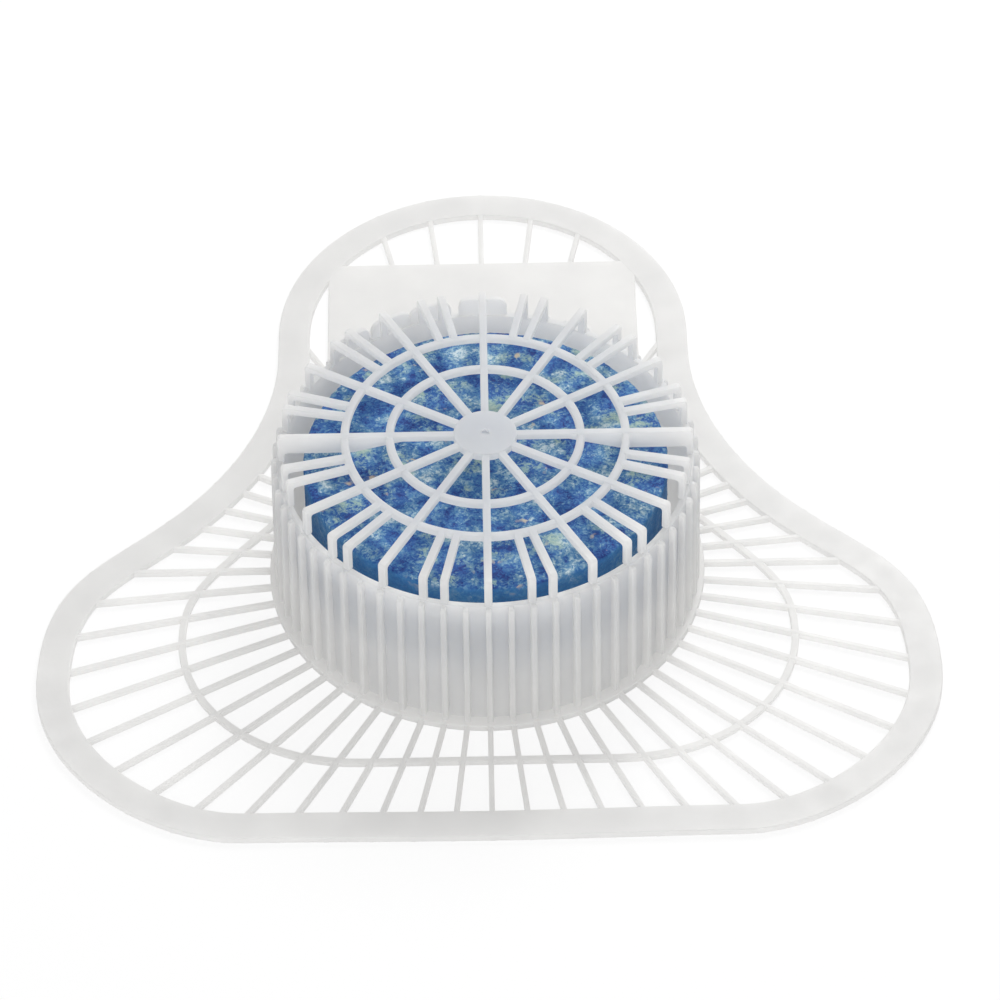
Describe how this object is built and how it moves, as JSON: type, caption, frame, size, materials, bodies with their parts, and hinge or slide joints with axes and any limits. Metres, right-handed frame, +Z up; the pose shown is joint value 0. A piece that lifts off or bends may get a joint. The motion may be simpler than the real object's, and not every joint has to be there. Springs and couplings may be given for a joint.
{
  "type": "urinal deodorizer screen",
  "caption": "Bell-shaped urinal screen with a ribbed flange, a finned drum and a round cage of spokes that holds a blue deodorizer block.",
  "frame": {"origin": "On the surface that the flange lies on, in the middle of the flange's length and width.", "axes": "+Z up out of the drum's cage, +Y towards the flange's narrow round back, -Y towards its wide front, +X to the right seen from the front."},
  "size_m": [0.186, 0.1904, 0.0406],
  "materials": {
    "translucent_white_plastic": "Flexible moulded plastic, milky white and slightly see-through where it is thin, with a soft satin sheen.",
    "pressed_deodorizer": "Pressed deodorizer flakes in dark and middle blue with pale blue and greenish flecks, dull and slightly rough."
  },
  "bodies": {
    "root": {"screen": "translucent_white_plastic", "deodorizer_block": "pressed_deodorizer"}
  },
  "joints": []
}
